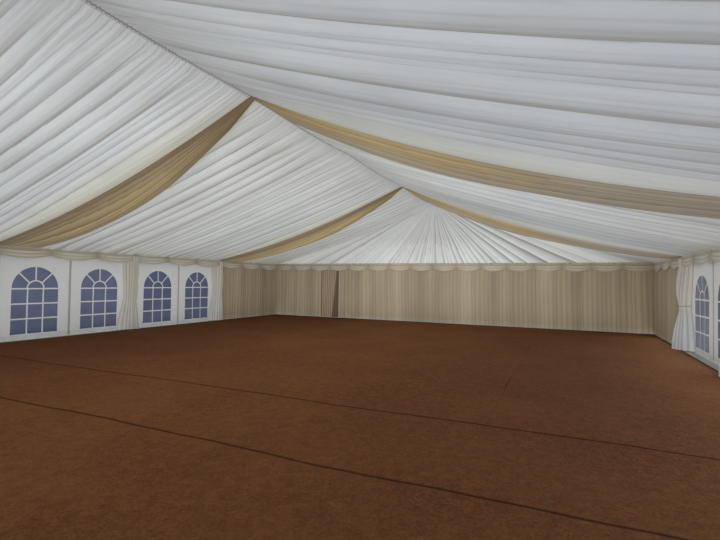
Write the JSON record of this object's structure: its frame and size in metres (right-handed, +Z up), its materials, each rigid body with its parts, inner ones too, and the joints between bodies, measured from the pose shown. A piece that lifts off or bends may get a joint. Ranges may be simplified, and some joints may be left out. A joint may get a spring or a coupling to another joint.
{
  "type": "lined frame marquee tent",
  "caption": "Clear-span frame marquee with pleated lining, swags, scalloped pelmet, tied-back drapes, round-headed clear windows and coir matting.",
  "frame": {"origin": "ground level, middle of the plan", "axes": "+Y along the ridge to the gable seen in the picture, +X to the right of someone facing it, +Z up"},
  "size_m": [15.0418, 22.6646, 4.9458],
  "materials": {
    "aluminium": "mill finish extrusion",
    "sheeting": "white coated polyester sheet",
    "clear_sheet": "clear flexible window sheet",
    "roof_lining": "ivory pleated voile",
    "wall_lining": "cream pleated voile",
    "pelmet": "ivory swagged satin",
    "swag": "champagne satin in long folds",
    "curtain": "brown heavy curtain",
    "matting": "brown woven coir"
  },
  "bodies": {
    "root": {"portal_frame_1": "aluminium", "portal_frame_2": "aluminium", "portal_frame_3": "aluminium", "portal_frame_4": "aluminium", "portal_frame_5": "aluminium", "portal_frame_6": "aluminium", "portal_frame_7": "aluminium", "ridge_beam": "aluminium", "eaves_beam_left": "aluminium", "eaves_beam_right": "aluminium", "gable_framing_near": "aluminium", "gable_framing_far": "aluminium", "roof_panel_1": "sheeting", "roof_panel_2": "sheeting", "roof_panel_3": "sheeting", "roof_panel_4": "sheeting", "roof_panel_5": "sheeting", "roof_panel_6": "sheeting", "side_wall_left_1": "sheeting", "side_wall_left_2": "sheeting", "side_wall_left_3": "sheeting", "side_wall_left_4": "sheeting", "side_wall_left_5": "sheeting", "side_wall_left_6": "sheeting", "side_wall_right_1": "sheeting", "side_wall_right_2": "sheeting", "side_wall_right_3": "sheeting", "side_wall_right_4": "sheeting", "side_wall_right_5": "sheeting", "side_wall_right_6": "sheeting", "gable_triangle_near": "sheeting", "gable_wall_near_left": "sheeting", "gable_wall_near_right": "sheeting", "gable_triangle_far": "sheeting", "gable_wall_far_left": "sheeting", "gable_wall_far_right": "sheeting", "window_glazing_left": "clear_sheet", "window_glazing_right": "clear_sheet", "gable_fan_near": "roof_lining", "gable_fan_far": "roof_lining", "roof_lining_left": "roof_lining", "roof_lining_right": "roof_lining", "wall_lining_near": "wall_lining", "wall_lining_far": "wall_lining", "gable_pelmet_near": "pelmet", "gable_pelmet_far": "pelmet", "pelmet_and_drapes_left": "pelmet", "pelmet_and_drapes_right": "pelmet", "swag_2": "swag", "swag_4": "swag", "swag_6": "swag", "doorway_curtain_near": "curtain", "doorway_curtain_far": "curtain", "matting_near": "matting", "matting_cross": "matting", "matting_far_left": "matting", "matting_far_right": "matting"}
  },
  "joints": []
}
